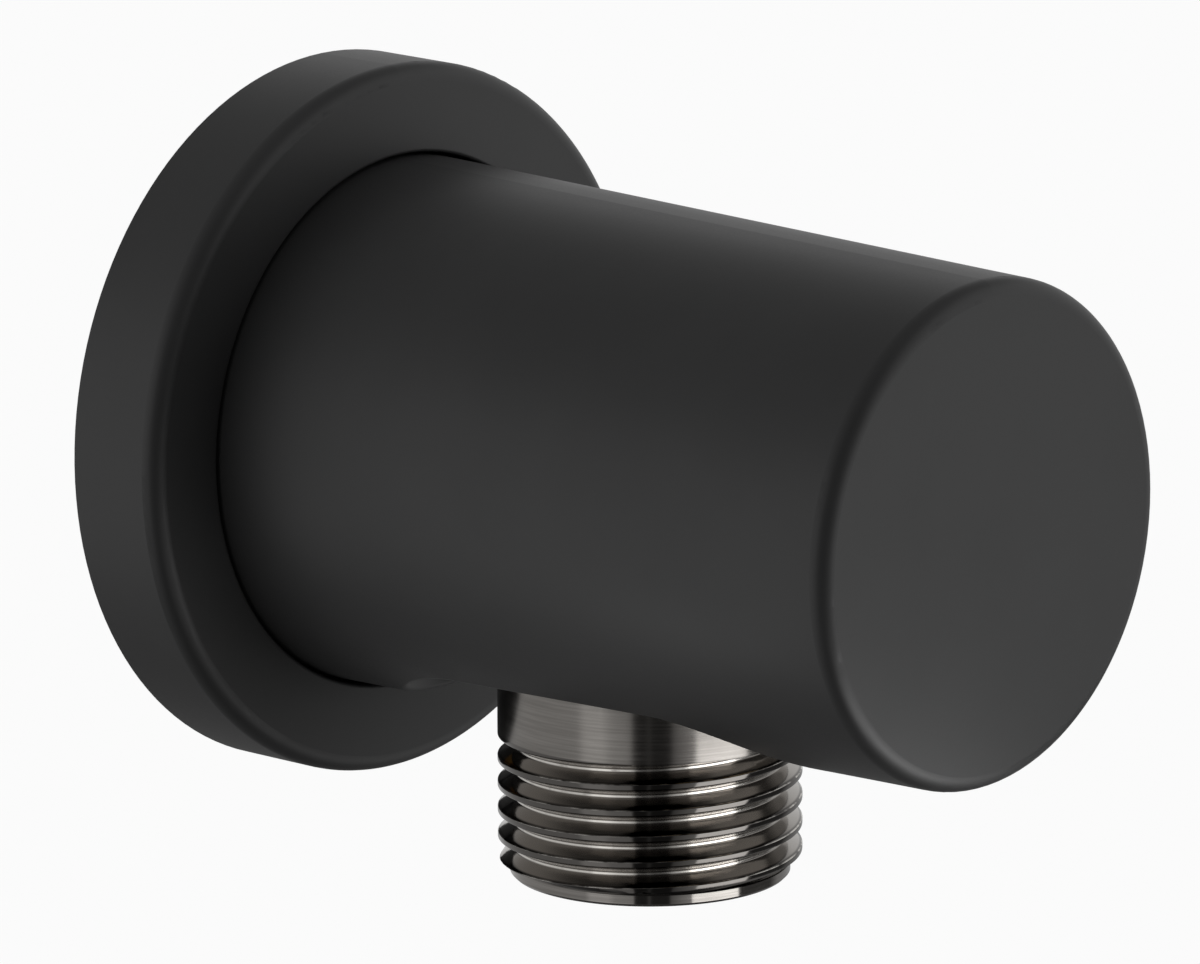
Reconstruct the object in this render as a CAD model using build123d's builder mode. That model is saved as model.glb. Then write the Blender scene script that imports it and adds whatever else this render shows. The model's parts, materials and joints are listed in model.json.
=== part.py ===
from build123d import *
import os

# Wall outlet elbow for a shower hose, in millimetres.
# The origin is the centre of the flange's wall face. The barrel runs out along -Y and the outlet points
# down along -Z. A value named out is a distance from the wall, and one named drop is a depth below the
# barrel's axis.

# Wall flange
flange_diameter = 50.0
flange_depth = 7.6
flange_wall = 1.4
flange_edge_round = 1.2
flange_hole_gap = 0.25
flange_hole_round = 0.25
flange_collar_wall = 0.8
flange_seal_thickness = 2.0
flange_seal_width = 2.1
flange_seal_ledge = 0.4

# Barrel sleeve, its cone measured at the wall and at the closed end
barrel_wall_diameter = 37.4
barrel_cap_diameter = 34.7
barrel_projection = 60.9
barrel_edge_round = 1.2
sleeve_start_out = 2.8
sleeve_bore_diameter = 30.8
sleeve_cap_thickness = 2.6
sleeve_mouth_chamfer = 0.6

# Oblong opening in the sleeve's underside
opening_width = 22.2
opening_length = 39.4
opening_out = 31.5
opening_edge_round = 0.35

# Inner elbow
elbow_start_out = 3.0
elbow_diameter = 25.6
elbow_end_gap = 1.0
elbow_sleeve_gap = 0.1
rear_shoulder_out = 4.4
rear_shoulder_length = 6.0
front_shoulder_length = 5.4
nose_pocket_diameter = 19.0
nose_pocket_depth = 14.3
waterway_diameter = 12.0

# Outlet port and nipple
outlet_out = 30.4
outlet_seat_drop = 11.0
outlet_seat_margin = 0.4
port_thread_diameter = 16.66
port_thread_depth = 5.4
nipple_shank_length = 4.4
nipple_shank_chamfer = 0.5
nipple_thread_diameter = 20.955
nipple_collar_drop = 18.3
nipple_relief_diameter = 18.8
nipple_relief_slope = 0.7
nipple_relief_length = 0.4
nipple_end_drop = 28.3
nipple_end_chamfer = 0.5
nipple_pilot_diameter = 19.2
nipple_pilot_length = 0.7
nipple_hex_across = 10.0
nipple_edge_chamfer = 0.2

# Wall connector
connector_thread_diameter = 20.955
connector_thread_length = 11.0
connector_thread_chamfer = 0.9
connector_relief_diameter = 18.4
connector_relief_length = 1.2
connector_shoulder_diameter = 23.6
connector_shoulder_length = 2.6
spigot_diameter = 16.0
spigot_length = 16.6
spigot_gap = 0.05
spigot_end_gap = 0.5
spigot_chamfer = 0.6
connector_bore_diameter = 9.8
connector_hex_across = 10.0
connector_hex_depth = 8.0

# Locking screw and the groove that it grips
locking_screw_out = 15.8
locking_screw_diameter = 5.0
locking_screw_length = 5.0
locking_screw_tip_diameter = 3.0
locking_screw_hex_across = 2.5
locking_screw_hex_depth = 2.4
locking_groove_depth = 0.9
locking_groove_margin = 0.1

# O-ring grooves
connector_ring_rear_out = 7.1
connector_ring_front_out = 11.1
connector_ring_width = 2.2
connector_ring_depth = 1.4
sleeve_ring_width = 2.2
sleeve_ring_depth = 1.5
grip_ring_out = 4.4
grip_ring_width = 2.0
grip_ring_depth = 1.0
nipple_ring_width = 1.4
nipple_ring_depth = 1.0
cartridge_ring_drop = 16.8
cartridge_ring_width = 1.6
cartridge_ring_depth = 1.0
ring_corner_chamfer = 0.4
small_ring_chamfer = 0.3

# Check valve cartridge in the nipple
cartridge_bore_diameter = 14.5
cartridge_gap = 0.1
cartridge_length = 12.4
cartridge_recess = 0.9
valve_block_height = 3.4
valve_inlet_diameter = 8.8
valve_chamber_diameter = 12.6
guide_ledge = 0.3
guide_thickness = 1.6
guide_rim = 0.9
guide_spokes = 3
guide_spoke_width = 1.2
guide_hub_diameter = 3.6
guide_hub_height = 3.4
poppet_diameter = 10.0
poppet_thickness = 1.0
poppet_head_diameter = 6.0
poppet_head_height = 0.9
poppet_neck_diameter = 4.4
poppet_stem_diameter = 2.0
poppet_stem_length = 5.5
poppet_seal_diameter = 10.8
poppet_seal_thickness = 1.0
spring_diameter = 5.6
spring_wire_diameter = 0.5
spring_turns = 5.0
spring_wire_sides = 6

# Clearances
guide_gap = 0.05
seat_gap = 0.02


def barrel_radius(out):
    """Outer radius of the barrel at a distance from the wall."""
    growth = (barrel_cap_diameter - barrel_wall_diameter) / barrel_projection
    return (barrel_wall_diameter + growth * out) / 2


def level_plane(out, drop):
    """A plane that faces up, at a distance from the wall and a depth below the axis."""
    return Plane(origin=(0, -out, -drop), x_dir=(0, -1, 0), z_dir=(0, 0, 1))


def wall_plane(out):
    """A plane that faces away from the wall, at a distance from it."""
    return Plane(origin=(0, -out, 0), x_dir=(1, 0, 0), z_dir=(0, -1, 0))


def turned_plane(out):
    """A plane for profiles turned about an upright axis: x is the radius and y is the drop."""
    return Plane(origin=(0, -out, 0), x_dir=(0, -1, 0), z_dir=(1, 0, 0))


# Planes and axes: in barrel_plane x is the distance out and y is the radius
barrel_plane = Plane(origin=(0, 0, 0), x_dir=(0, -1, 0), z_dir=(-1, 0, 0))
outlet_axis = Axis((0, -outlet_out, 0), (0, 0, 1))
screw_axis = Axis((0, -locking_screw_out, 0), (0, 0, 1))

# Sizes and places that follow from the ones above
flange_radius = flange_diameter / 2
flange_hole_radius = barrel_radius(flange_depth) + flange_hole_gap
flange_inner_radius = flange_radius - flange_wall
grip_groove_radius = flange_hole_radius + grip_ring_depth
flange_collar_radius = grip_groove_radius + flange_collar_wall
flange_ledge_radius = flange_inner_radius - flange_seal_ledge
sleeve_bore_radius = sleeve_bore_diameter / 2
sleeve_bore_end = barrel_projection - sleeve_cap_thickness
elbow_radius = elbow_diameter / 2
elbow_end_out = sleeve_bore_end - elbow_end_gap
shoulder_radius = sleeve_bore_radius - elbow_sleeve_gap
rear_shoulder_end = rear_shoulder_out + rear_shoulder_length
front_shoulder_out = elbow_end_out - front_shoulder_length
sleeve_ring_rear_out = rear_shoulder_out + rear_shoulder_length / 2
sleeve_ring_front_out = front_shoulder_out + front_shoulder_length / 2
spigot_radius = spigot_diameter / 2
spigot_end_out = connector_shoulder_length + spigot_length
spigot_bore_radius = spigot_radius + spigot_gap
spigot_bore_end = spigot_end_out + spigot_end_gap
screw_tip_radius = locking_screw_tip_diameter / 2
screw_radius = locking_screw_diameter / 2
screw_tip_drop = spigot_radius - locking_groove_depth + seat_gap
screw_end_drop = screw_tip_drop + locking_screw_length
nipple_radius = nipple_thread_diameter / 2
relief_radius = nipple_relief_diameter / 2
relief_start_drop = nipple_collar_drop + nipple_relief_slope
relief_end_drop = relief_start_drop + nipple_relief_length
thread_start_drop = relief_end_drop + nipple_relief_slope
pilot_radius = nipple_pilot_diameter / 2
pilot_start_drop = nipple_end_drop - nipple_pilot_length
thread_end_drop = pilot_start_drop - nipple_end_chamfer
shank_radius = port_thread_diameter / 2
shank_top_drop = outlet_seat_drop - nipple_shank_length
cartridge_bore_radius = cartridge_bore_diameter / 2
cartridge_radius = cartridge_bore_radius - cartridge_gap
cartridge_end_drop = nipple_end_drop - cartridge_recess
cartridge_top_drop = cartridge_end_drop - cartridge_length
valve_seat_drop = cartridge_top_drop + valve_block_height
chamber_radius = valve_chamber_diameter / 2
guide_radius = chamber_radius + guide_ledge
guide_top_drop = cartridge_end_drop - guide_thickness
seal_top_drop = valve_seat_drop + seat_gap
seal_end_drop = seal_top_drop + poppet_seal_thickness
disc_top_drop = seal_end_drop + seat_gap
disc_end_drop = disc_top_drop + poppet_thickness
head_top_drop = valve_seat_drop - poppet_head_height

# Flange: a cup with its mouth to the wall, and inside it a collar with the grip ring's groove
with BuildPart() as wall_flange:
    with BuildSketch(barrel_plane):
        with BuildLine():
            Polyline(
                (0, flange_inner_radius),
                (0, flange_radius),
                (flange_depth, flange_radius),
                (flange_depth, flange_hole_radius),
                (flange_seal_thickness, flange_hole_radius),
                (flange_seal_thickness, flange_collar_radius),
                (flange_depth - flange_wall, flange_collar_radius),
                (flange_depth - flange_wall, flange_ledge_radius),
                (flange_seal_thickness, flange_ledge_radius),
                (flange_seal_thickness, flange_inner_radius),
                close=True,
            )
        make_face()
    revolve(axis=Axis.Y)
    front_edges = wall_flange.edges().filter_by(GeomType.CIRCLE).group_by(Axis.Y)[0]
    hole_edge = front_edges.sort_by(SortBy.RADIUS)[0]
    rim_edge = front_edges.sort_by(SortBy.RADIUS)[-1]
    fillet(rim_edge, flange_edge_round)
    fillet(hole_edge, flange_hole_round)
    with BuildSketch(barrel_plane):
        with Locations((grip_ring_out, flange_hole_radius)):
            Rectangle(grip_ring_width, 2 * grip_ring_depth)
    revolve(axis=Axis.Y, mode=Mode.SUBTRACT)
wall_flange.part.label = "wall_flange"

# Grip ring: squeezed between the flange's groove and the sleeve's cone
grip_start_out = grip_ring_out - grip_ring_width / 2 + seat_gap
grip_end_out = grip_ring_out + grip_ring_width / 2 - seat_gap
with BuildPart() as flange_grip_ring:
    with BuildSketch(barrel_plane):
        with BuildLine():
            Polyline(
                (grip_start_out, barrel_radius(grip_start_out) + seat_gap),
                (grip_end_out, barrel_radius(grip_end_out) + seat_gap),
                (grip_end_out, grip_groove_radius - seat_gap),
                (grip_start_out, grip_groove_radius - seat_gap),
                close=True,
            )
        section = make_face()
        chamfer(section.vertices(), ring_corner_chamfer)
    revolve(axis=Axis.Y)
flange_grip_ring.part.label = "flange_grip_ring"

# Wall seal: a soft flat ring in the flange's mouth, which rests on a ledge and is flush with the rim
with BuildPart() as flange_wall_seal:
    with BuildSketch(wall_plane(0)):
        Circle(flange_inner_radius - guide_gap)
        Circle(flange_inner_radius - flange_seal_width, mode=Mode.SUBTRACT)
    extrude(amount=flange_seal_thickness - seat_gap)
flange_wall_seal.part.label = "flange_wall_seal"

# Sleeve: a tapered cover with a closed end, and the oblong opening that the nipple comes out of
with BuildPart() as barrel_sleeve:
    with BuildSketch(barrel_plane):
        with BuildLine():
            Polyline(
                (sleeve_start_out, sleeve_bore_radius),
                (sleeve_start_out, barrel_radius(sleeve_start_out)),
                (barrel_projection, barrel_radius(barrel_projection)),
                (barrel_projection, 0),
                (sleeve_bore_end, 0),
                (sleeve_bore_end, sleeve_bore_radius),
                close=True,
            )
        make_face()
    revolve(axis=Axis.Y)
    cap_edge = barrel_sleeve.edges().filter_by(GeomType.CIRCLE).sort_by(Axis.Y)[0]
    fillet(cap_edge, barrel_edge_round)
    mouth_edges = barrel_sleeve.edges().filter_by(GeomType.CIRCLE).group_by(Axis.Y)[-1]
    chamfer(mouth_edges.sort_by(SortBy.RADIUS)[0], sleeve_mouth_chamfer)
    with BuildSketch(level_plane(opening_out, 0)):
        SlotOverall(opening_length, opening_width)
    extrude(amount=-barrel_wall_diameter, mode=Mode.SUBTRACT)
    outer_wall = barrel_sleeve.faces().filter_by(GeomType.CONE).sort_by(SortBy.AREA)[-1]
    fillet(outer_wall.inner_wires()[0].edges(), opening_edge_round)
barrel_sleeve.part.label = "barrel_sleeve"

# Inner elbow: two shoulders that carry the sleeve, and a boss with the nipple's seat
with BuildPart() as inner_elbow:
    with BuildSketch(barrel_plane):
        with BuildLine():
            Polyline(
                (elbow_start_out, 0),
                (elbow_start_out, elbow_radius),
                (rear_shoulder_out, elbow_radius),
                (rear_shoulder_out, shoulder_radius),
                (rear_shoulder_end, shoulder_radius),
                (rear_shoulder_end, elbow_radius),
                (front_shoulder_out, elbow_radius),
                (front_shoulder_out, shoulder_radius),
                (elbow_end_out, shoulder_radius),
                (elbow_end_out, 0),
                close=True,
            )
        make_face()
    revolve(axis=Axis.Y)
    with BuildSketch(barrel_plane):
        with Locations((sleeve_ring_rear_out, shoulder_radius), (sleeve_ring_front_out, shoulder_radius)):
            Rectangle(sleeve_ring_width, 2 * sleeve_ring_depth)
    revolve(axis=Axis.Y, mode=Mode.SUBTRACT)
    # The outlet boss and the spot face round it
    with BuildSketch(level_plane(outlet_out, 0)):
        Circle(nipple_radius)
    extrude(amount=-outlet_seat_drop)
    with BuildSketch(level_plane(outlet_out, outlet_seat_drop)):
        Circle(nipple_radius + outlet_seat_margin)
    extrude(amount=-elbow_diameter, mode=Mode.SUBTRACT)
    # The bore for the spigot, then the bent waterway
    with BuildSketch(wall_plane(0)):
        Circle(spigot_bore_radius)
    extrude(amount=spigot_bore_end, mode=Mode.SUBTRACT)
    with BuildSketch(wall_plane(0)):
        Circle(waterway_diameter / 2)
    extrude(amount=outlet_out, mode=Mode.SUBTRACT)
    with Locations((0, -outlet_out, 0)):
        Sphere(waterway_diameter / 2, mode=Mode.SUBTRACT)
    with BuildSketch(level_plane(outlet_out, 0)):
        Circle(waterway_diameter / 2)
    extrude(amount=-outlet_seat_drop, mode=Mode.SUBTRACT)
    with BuildSketch(level_plane(outlet_out, outlet_seat_drop)):
        Circle(shank_radius + seat_gap)
    extrude(amount=port_thread_depth, mode=Mode.SUBTRACT)
    # The hole for the locking screw
    with BuildSketch(level_plane(locking_screw_out, 0)):
        Circle(screw_radius + seat_gap)
    extrude(amount=-elbow_diameter, mode=Mode.SUBTRACT)
    # The cored pocket in the nose
    with BuildSketch(barrel_plane):
        with BuildLine():
            Polyline(
                (elbow_end_out - nose_pocket_depth, 0),
                (elbow_end_out, 0),
                (elbow_end_out, nose_pocket_diameter / 2),
                (elbow_end_out - nose_pocket_depth, nose_pocket_diameter / 2),
                close=True,
            )
        make_face()
    revolve(axis=Axis.Y, mode=Mode.SUBTRACT)
inner_elbow.part.label = "inner_elbow"

# Wall connector: the wall thread, a stop shoulder, and the spigot with its grooves and hex socket
groove_bottom_half = screw_tip_radius + locking_groove_margin
groove_top_half = groove_bottom_half + locking_groove_depth
with BuildPart() as wall_connector:
    with BuildSketch(barrel_plane):
        with BuildLine():
            Polyline(
                (-connector_thread_length, connector_bore_diameter / 2),
                (-connector_thread_length, connector_thread_diameter / 2 - connector_thread_chamfer),
                (connector_thread_chamfer - connector_thread_length, connector_thread_diameter / 2),
                (-connector_relief_length, connector_thread_diameter / 2),
                (-connector_relief_length, connector_relief_diameter / 2),
                (0, connector_relief_diameter / 2),
                (0, connector_shoulder_diameter / 2),
                (connector_shoulder_length, connector_shoulder_diameter / 2),
                (connector_shoulder_length, spigot_radius),
                (locking_screw_out - groove_top_half, spigot_radius),
                (locking_screw_out - groove_bottom_half, spigot_radius - locking_groove_depth),
                (locking_screw_out + groove_bottom_half, spigot_radius - locking_groove_depth),
                (locking_screw_out + groove_top_half, spigot_radius),
                (spigot_end_out - spigot_chamfer, spigot_radius),
                (spigot_end_out, spigot_radius - spigot_chamfer),
                (spigot_end_out, connector_bore_diameter / 2),
                close=True,
            )
        make_face()
        with Locations((connector_ring_rear_out, spigot_radius), (connector_ring_front_out, spigot_radius)):
            Rectangle(connector_ring_width, 2 * connector_ring_depth, mode=Mode.SUBTRACT)
    revolve(axis=Axis.Y)
    with BuildSketch(wall_plane(spigot_end_out)):
        RegularPolygon(connector_hex_across / 2, 6, major_radius=False)
    extrude(amount=-connector_hex_depth, mode=Mode.SUBTRACT)
wall_connector.part.label = "wall_connector"

# O-rings round the barrel's axis: groove centre and width, groove bottom radius, bore radius outside it
spigot_groove_radius = spigot_radius - connector_ring_depth
shoulder_groove_radius = shoulder_radius - sleeve_ring_depth
barrel_rings = {
    "connector_ring_rear": (connector_ring_rear_out, connector_ring_width, spigot_groove_radius, spigot_bore_radius),
    "connector_ring_front": (connector_ring_front_out, connector_ring_width, spigot_groove_radius, spigot_bore_radius),
    "sleeve_ring_rear": (sleeve_ring_rear_out, sleeve_ring_width, shoulder_groove_radius, sleeve_bore_radius),
    "sleeve_ring_front": (sleeve_ring_front_out, sleeve_ring_width, shoulder_groove_radius, sleeve_bore_radius),
}
rings = []
for name, (groove_out, groove_width, inner_radius, outer_radius) in barrel_rings.items():
    with BuildPart() as ring:
        with BuildSketch(barrel_plane):
            with Locations((groove_out, (inner_radius + outer_radius) / 2)):
                section = Rectangle(groove_width - 2 * seat_gap, outer_radius - inner_radius - 2 * seat_gap)
            chamfer(section.vertices(), ring_corner_chamfer)
        revolve(axis=Axis.Y)
    ring.part.label = name
    rings.append(ring)

# Locking screw: a grub screw with a flat cone tip, driven from below through the oblong opening
with BuildPart() as locking_screw:
    with BuildSketch(turned_plane(locking_screw_out)):
        with BuildLine():
            Polyline(
                (0, screw_tip_drop),
                (screw_tip_radius, screw_tip_drop),
                (screw_radius, screw_tip_drop + screw_radius - screw_tip_radius),
                (screw_radius, screw_end_drop),
                (0, screw_end_drop),
                close=True,
            )
        make_face()
    revolve(axis=screw_axis)
    with BuildSketch(level_plane(locking_screw_out, screw_end_drop)):
        RegularPolygon(locking_screw_hex_across / 2, 6, major_radius=False)
    extrude(amount=locking_screw_hex_depth, mode=Mode.SUBTRACT)
locking_screw.part.label = "locking_screw"

# Outlet nipple: shank, collar, thread relief, the thread at its outer diameter, and a plain pilot
with BuildPart() as outlet_nipple:
    with BuildSketch(turned_plane(outlet_out)):
        with BuildLine():
            Polyline(
                (0, shank_top_drop),
                (shank_radius - nipple_shank_chamfer, shank_top_drop),
                (shank_radius, shank_top_drop + nipple_shank_chamfer),
                (shank_radius, outlet_seat_drop + nipple_ring_depth),
                (shank_radius + nipple_ring_width, outlet_seat_drop + nipple_ring_depth),
                (shank_radius + nipple_ring_width, outlet_seat_drop),
                (nipple_radius - nipple_edge_chamfer, outlet_seat_drop),
                (nipple_radius, outlet_seat_drop + nipple_edge_chamfer),
                (nipple_radius, nipple_collar_drop),
                (relief_radius, relief_start_drop),
                (relief_radius, relief_end_drop),
                (nipple_radius, thread_start_drop),
                (nipple_radius, thread_end_drop),
                (pilot_radius, pilot_start_drop),
                (pilot_radius, nipple_end_drop - nipple_edge_chamfer),
                (pilot_radius - nipple_edge_chamfer, nipple_end_drop),
                (0, nipple_end_drop),
                close=True,
            )
        make_face()
    revolve(axis=outlet_axis)
    with BuildSketch(level_plane(outlet_out, nipple_end_drop)):
        Circle(cartridge_bore_radius)
    extrude(amount=cartridge_recess + cartridge_length, mode=Mode.SUBTRACT)
    with BuildSketch(level_plane(outlet_out, nipple_end_drop)):
        RegularPolygon(nipple_hex_across / 2, 6, major_radius=False)
    extrude(amount=nipple_end_drop, mode=Mode.SUBTRACT)
outlet_nipple.part.label = "outlet_nipple"

# Nipple ring: seals the collar against the boss of the elbow
with BuildPart() as outlet_nipple_ring:
    with BuildSketch(turned_plane(outlet_out)):
        with Locations((shank_radius + nipple_ring_width / 2, outlet_seat_drop + nipple_ring_depth / 2)):
            section = Rectangle(nipple_ring_width - 2 * seat_gap, nipple_ring_depth - 2 * seat_gap)
        chamfer(section.vertices(), small_ring_chamfer)
    revolve(axis=outlet_axis)
outlet_nipple_ring.part.label = "outlet_nipple_ring"

# Valve housing: the seat above, the chamber below, and a ledge that the guide is pressed against
with BuildPart() as valve_housing:
    with BuildSketch(turned_plane(outlet_out)):
        with BuildLine():
            Polyline(
                (valve_inlet_diameter / 2, cartridge_top_drop),
                (cartridge_radius, cartridge_top_drop),
                (cartridge_radius, cartridge_end_drop),
                (guide_radius, cartridge_end_drop),
                (guide_radius, guide_top_drop),
                (chamber_radius, guide_top_drop),
                (chamber_radius, valve_seat_drop),
                (valve_inlet_diameter / 2, valve_seat_drop),
                close=True,
            )
        make_face()
        with Locations((cartridge_radius, cartridge_ring_drop)):
            Rectangle(2 * cartridge_ring_depth, cartridge_ring_width, mode=Mode.SUBTRACT)
    revolve(axis=outlet_axis)
valve_housing.part.label = "valve_housing"

# Housing ring: seals the cartridge in the nipple's bore
housing_groove_radius = cartridge_radius - cartridge_ring_depth
with BuildPart() as valve_housing_ring:
    with BuildSketch(turned_plane(outlet_out)):
        with Locations(((housing_groove_radius + cartridge_bore_radius) / 2, cartridge_ring_drop)):
            section = Rectangle(
                cartridge_bore_radius - housing_groove_radius - 2 * seat_gap,
                cartridge_ring_width - 2 * seat_gap,
            )
        chamfer(section.vertices(), small_ring_chamfer)
    revolve(axis=outlet_axis)
valve_housing_ring.part.label = "valve_housing_ring"

# Valve guide: a rim, spokes and a hub that the poppet's stem slides in
guide_outer_radius = guide_radius - seat_gap
hub_radius = guide_hub_diameter / 2
spoke_length = guide_outer_radius - guide_rim / 2
with BuildPart() as valve_guide:
    with BuildSketch(level_plane(outlet_out, cartridge_end_drop)):
        Circle(guide_outer_radius)
        Circle(guide_outer_radius - guide_rim, mode=Mode.SUBTRACT)
        with PolarLocations(spoke_length / 2, guide_spokes):
            Rectangle(spoke_length, guide_spoke_width)
        Circle(hub_radius)
    extrude(amount=guide_thickness - seat_gap)
    with BuildSketch(level_plane(outlet_out, cartridge_end_drop)):
        Circle(hub_radius)
    extrude(amount=guide_hub_height)
    with BuildSketch(level_plane(outlet_out, cartridge_end_drop)):
        Circle(poppet_stem_diameter / 2 + guide_gap)
    extrude(amount=guide_hub_height, mode=Mode.SUBTRACT)
valve_guide.part.label = "valve_guide"

# Poppet: a head that holds the seal, a neck through it, the disc below it and the guided stem
with BuildPart() as valve_poppet:
    with BuildSketch(turned_plane(outlet_out)):
        with BuildLine():
            Polyline(
                (0, head_top_drop),
                (poppet_head_diameter / 2, head_top_drop),
                (poppet_head_diameter / 2, valve_seat_drop),
                (poppet_neck_diameter / 2, valve_seat_drop),
                (poppet_neck_diameter / 2, disc_top_drop),
                (poppet_diameter / 2, disc_top_drop),
                (poppet_diameter / 2, disc_end_drop),
                (poppet_stem_diameter / 2, disc_end_drop),
                (poppet_stem_diameter / 2, disc_end_drop + poppet_stem_length),
                (0, disc_end_drop + poppet_stem_length),
                close=True,
            )
        make_face()
    revolve(axis=outlet_axis)
    top_edge = valve_poppet.edges().filter_by(GeomType.CIRCLE).sort_by(Axis.Z)[-1]
    fillet(top_edge, poppet_head_height / 2)
valve_poppet.part.label = "valve_poppet"

# Poppet seal: a rubber disc clamped between the poppet's head and disc
with BuildPart() as poppet_seal:
    with BuildSketch(level_plane(outlet_out, seal_end_drop)):
        Circle(poppet_seal_diameter / 2)
        Circle(poppet_neck_diameter / 2 + seat_gap, mode=Mode.SUBTRACT)
    extrude(amount=poppet_seal_thickness)
poppet_seal.part.label = "poppet_seal"

# Valve spring: pushes the poppet up against its seat, and stands on the guide's spokes
spring_coil_radius = (spring_diameter - spring_wire_diameter) / 2
spring_start_drop = disc_end_drop + spring_wire_diameter / 2 + seat_gap
spring_end_drop = guide_top_drop - spring_wire_diameter / 2 - seat_gap
with BuildPart() as valve_spring:
    with BuildLine():
        coil = Helix(
            pitch=(spring_end_drop - spring_start_drop) / spring_turns,
            height=spring_end_drop - spring_start_drop,
            radius=spring_coil_radius,
            center=(0, -outlet_out, -spring_start_drop),
            direction=(0, 0, -1),
        )
    with BuildSketch(Plane(origin=coil @ 0, z_dir=coil % 0)):
        RegularPolygon(spring_wire_diameter / 2, spring_wire_sides)
    sweep(is_frenet=True)
valve_spring.part.label = "valve_spring"

# One file for each piece
pieces = [
    wall_flange,
    flange_grip_ring,
    flange_wall_seal,
    barrel_sleeve,
    inner_elbow,
    wall_connector,
    *rings,
    locking_screw,
    outlet_nipple,
    outlet_nipple_ring,
    valve_housing,
    valve_housing_ring,
    valve_guide,
    valve_poppet,
    poppet_seal,
    valve_spring,
]
os.makedirs("parts", exist_ok=True)
for piece in pieces:
    export_step(piece.part, f"parts/{piece.part.label}.step")
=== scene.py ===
import json
import math

import bmesh
import bpy
import numpy as np
from mathutils import Matrix, Vector


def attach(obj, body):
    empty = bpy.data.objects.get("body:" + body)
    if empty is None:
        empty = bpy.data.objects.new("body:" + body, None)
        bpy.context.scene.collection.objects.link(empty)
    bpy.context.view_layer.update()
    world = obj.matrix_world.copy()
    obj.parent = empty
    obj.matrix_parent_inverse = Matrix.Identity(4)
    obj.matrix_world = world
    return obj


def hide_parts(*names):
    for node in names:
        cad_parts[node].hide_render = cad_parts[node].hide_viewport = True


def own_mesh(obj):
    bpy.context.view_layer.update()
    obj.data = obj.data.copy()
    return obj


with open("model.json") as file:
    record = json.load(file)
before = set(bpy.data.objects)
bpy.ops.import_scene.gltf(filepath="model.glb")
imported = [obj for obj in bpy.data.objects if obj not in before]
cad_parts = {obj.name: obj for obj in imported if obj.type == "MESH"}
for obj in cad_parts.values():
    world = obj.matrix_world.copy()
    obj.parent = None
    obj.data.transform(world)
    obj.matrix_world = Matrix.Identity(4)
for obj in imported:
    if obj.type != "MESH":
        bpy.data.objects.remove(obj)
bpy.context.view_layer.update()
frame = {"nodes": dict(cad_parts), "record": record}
print("frame loaded with", len(frame["nodes"]), "nodes")

mm = 0.001  # shapes are worked out in millimetres and stored in metres
columns = 240  # round every turned piece, so that a hexagon's corners fall on columns
mergeDistance = 0.0000015  # metres: points nearer to each other than this become one
turnedSharp = 35.0  # degrees: a turned piece's edges stay sharp past this


# Measures that the shapes and the looks share, in millimetres

outletOut = 30.4  # from the wall to the nipple's axis
threadPitch = 1.814
collarEnd = -18.2
crestAtRight = -19.075  # middle of the first crest, on the +X side
threadStop = -27.6  # where the thread has run out into the pilot
nippleAxis = (0.0, -outletOut * mm, 0.0)


def metres(values):
    return [value * mm for value in values]


# Camera: the photograph's view, fitted to the outline of the fitting

cameraView = {
    "azimuth": -48.15,
    "elevation": 13.29,
    "roll": -0.19,
    "distance": 732.05,
    "target": (0.0, -33.0, 0.0),
    "moveRight": -5.31,
    "moveUp": -0.52,
    "focalPixels": 10749.0,
    "frameWidth": 1200.0,
    "sensor": 36.0,
    "clip": (0.01, 20.0),
}


def addCamera(v):
    # The camera stands at a distance from the target along back, which an azimuth and an elevation
    # give, is moved aside by moveRight and moveUp, and is rolled about back.
    a, e, r = (math.radians(v[key]) for key in ("azimuth", "elevation", "roll"))
    back = Vector((math.sin(a) * math.cos(e), -math.cos(a) * math.cos(e), math.sin(e)))
    level = Vector((math.cos(a), math.sin(a), 0.0))
    upright = back.cross(level)
    right = math.cos(r) * level + math.sin(r) * upright
    up = math.cos(r) * upright - math.sin(r) * level
    target = Vector(v["target"]) + level * v["moveRight"] + upright * v["moveUp"]
    place = (target + back * v["distance"]) * mm
    data = bpy.data.cameras.new("photoCamera")
    data.sensor_fit = "HORIZONTAL"
    data.sensor_width = v["sensor"]
    data.lens = v["focalPixels"] * v["sensor"] / v["frameWidth"]
    data.clip_start, data.clip_end = v["clip"]
    camera = bpy.data.objects.new("photoCamera", data)
    bpy.context.scene.collection.objects.link(camera)
    turn = Matrix((right, up, back)).transposed().to_4x4()
    camera.matrix_world = Matrix.Translation(place) @ turn
    bpy.context.scene.camera = camera


addCamera(cameraView)
print("camera placed")


# Shader maths

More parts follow.
